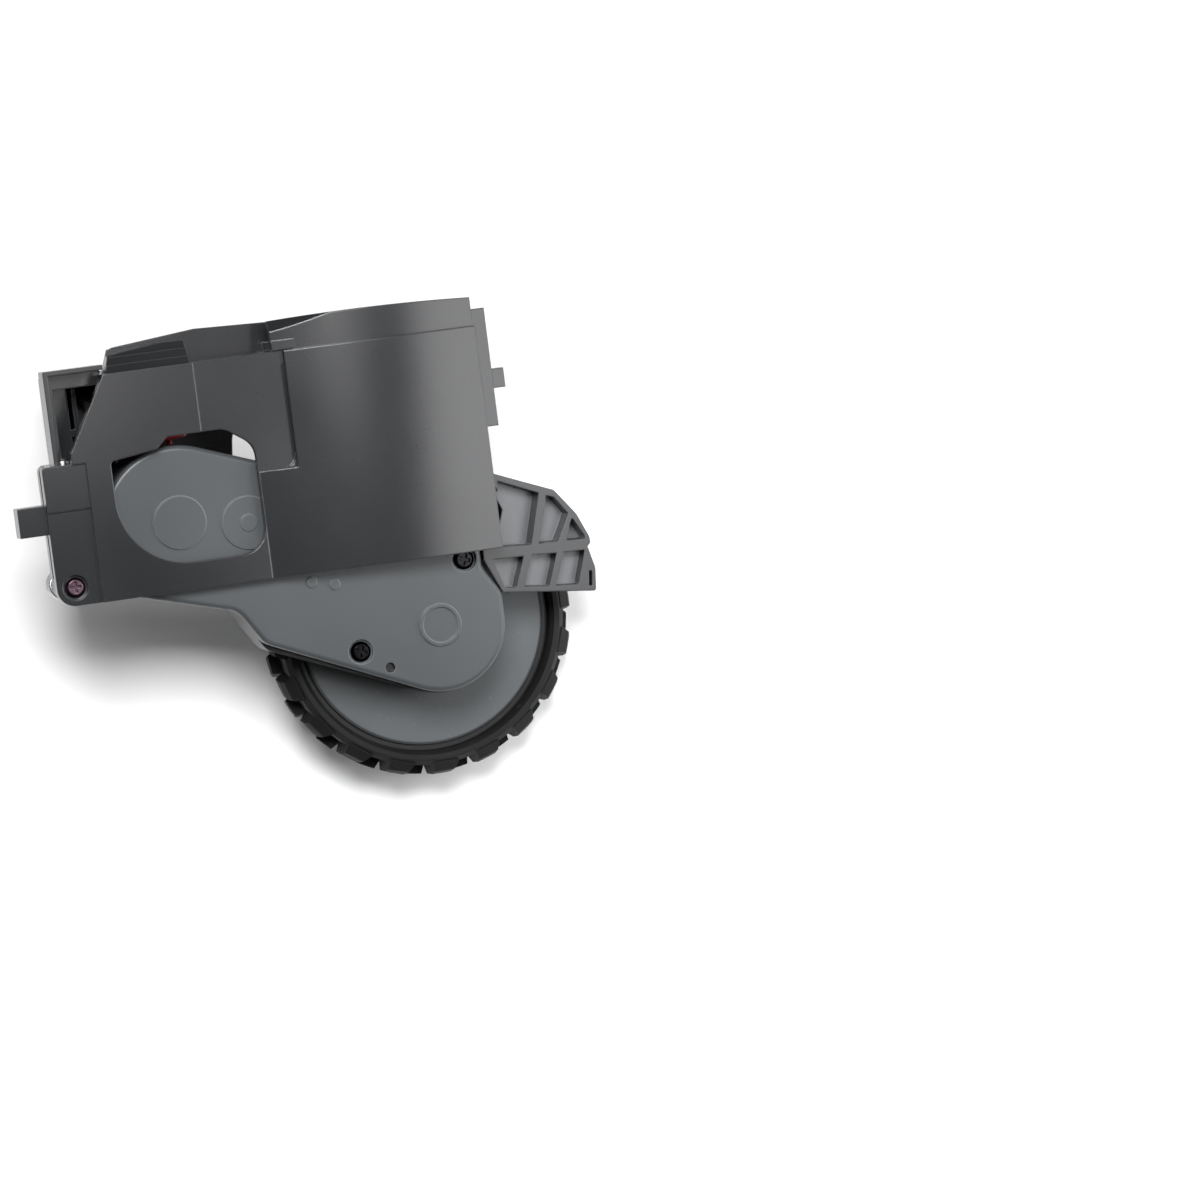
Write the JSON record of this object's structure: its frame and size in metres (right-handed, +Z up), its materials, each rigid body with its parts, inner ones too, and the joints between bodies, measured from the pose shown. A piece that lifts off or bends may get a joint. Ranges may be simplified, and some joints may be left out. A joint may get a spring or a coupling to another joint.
{
  "type": "robot vacuum drive wheel module",
  "caption": "Drive wheel module of a robot vacuum: a treaded wheel on a sprung, geared motor arm that swings in an open moulded housing.",
  "frame": {"origin": "midway between the two rear fixing holes, on the lugs' upper face that seats against the chassis", "axes": "+X along the front wall towards the open end where the wheel stands out, +Y from the bowed front wall inwards, +Z up"},
  "size_m": [0.1301, 0.064, 0.1091],
  "materials": {
    "housing": "satin moulded ABS, dark grey",
    "gearbox": "satin glass-filled nylon, dark grey",
    "hub": "moulded ABS, grey",
    "tread": "black rubber",
    "pivot_steel": "plated steel",
    "zinc_steel": "zinc-plated steel",
    "bright_steel": "ground steel",
    "spring_steel": "spring steel",
    "black_screw": "blackened steel",
    "brass": "brass",
    "bronze": "sintered bronze",
    "white_nylon": "natural nylon",
    "switch_case": "black plastic",
    "plunger_plastic": "red plastic",
    "red_pvc": "PVC insulation, red",
    "black_pvc": "PVC insulation, black",
    "motor_plastic": "black plastic",
    "circuit_board": "glass-fibre board",
    "gear_acetal": "natural acetal",
    "magnet": "bonded ferrite"
  },
  "bodies": {
    "housing": {"housing": "housing", "pivot_screw": "pivot_steel", "block_screw": "zinc_steel", "connector_block": "white_nylon", "connector_contacts": "brass", "switch_body": "switch_case", "return_spring": "spring_steel", "red_wire": "red_pvc", "black_wire": "black_pvc"},
    "arm": {"gearbox_base": "gearbox", "gearbox_cover": "gearbox", "cover_screws": "black_screw", "idler_shafts": "bright_steel", "front_bush": "bronze", "rear_bush": "bronze", "motor_can": "zinc_steel", "motor_end_cap": "motor_plastic", "motor_terminals": "brass", "motor_screws": "zinc_steel", "encoder_board": "circuit_board"},
    "wheel": {"wheel_hub": "hub", "tyre": "tread", "wheel_axle": "bright_steel", "axle_washer": "zinc_steel", "axle_screw": "zinc_steel", "output_gear": "gear_acetal"},
    "first_gear": {"gear_1": "gear_acetal"},
    "second_gear": {"gear_2": "gear_acetal"},
    "third_gear": {"gear_3": "gear_acetal"},
    "rotor": {"motor_shaft": "bright_steel", "motor_pinion": "brass", "encoder_magnet": "magnet"},
    "lever": {"switch_lever": "spring_steel"},
    "plunger": {"switch_plunger": "plunger_plastic"}
  },
  "joints": [
    {"name": "arm_pivot", "type": "hinge", "parent": "housing", "child": "arm", "pos_m": [-0.0307, -0.042, 0.0011], "axis": [0, -1, 0], "range_deg": [0, 18], "stiffness_Nm_per_rad": 0.6, "springref_deg": -51.57, "deforming": ["return_spring", "red_wire", "black_wire"]},
    {"name": "wheel_spin", "type": "hinge", "parent": "arm", "child": "wheel", "pos_m": [0.051, -0.025, -0.0189], "axis": [0, 1, 0], "continuous": true},
    {"name": "gear_3_spin", "type": "hinge", "parent": "arm", "child": "third_gear", "pos_m": [0.03756, -0.042, -0.00762], "axis": [0, 1, 0], "continuous": true},
    {"name": "gear_2_spin", "type": "hinge", "parent": "arm", "child": "second_gear", "pos_m": [0.0219, -0.042, -0.00139], "axis": [0, 1, 0], "continuous": true},
    {"name": "gear_1_spin", "type": "hinge", "parent": "arm", "child": "first_gear", "pos_m": [0.01031, -0.042, 0.01], "axis": [0, 1, 0], "continuous": true},
    {"name": "motor_spin", "type": "hinge", "parent": "arm", "child": "rotor", "pos_m": [-0.0051, -0.025, 0.0121], "axis": [0, 1, 0], "continuous": true},
    {"name": "lever_swing", "type": "hinge", "parent": "housing", "child": "lever", "pos_m": [-0.0126, -0.0396, 0.0375], "axis": [0, -1, 0], "range_deg": [0, 7]},
    {"name": "plunger_slide", "type": "slide", "parent": "housing", "child": "plunger", "axis": [0, 0, 1], "range_m": [0, 0.00072]}
  ],
  "couplings": [
    {"joint": "gear_3_spin", "follows": "wheel_spin", "ratio": -2.1818},
    {"joint": "gear_2_spin", "follows": "wheel_spin", "ratio": 5.4545},
    {"joint": "gear_1_spin", "follows": "wheel_spin", "ratio": -15.584},
    {"joint": "motor_spin", "follows": "wheel_spin", "ratio": 44.805},
    {"joint": "lever_swing", "follows": "arm_pivot", "ratio": 0.38889},
    {"joint": "plunger_slide", "follows": "arm_pivot", "m_per_rad": 0.0022918}
  ]
}
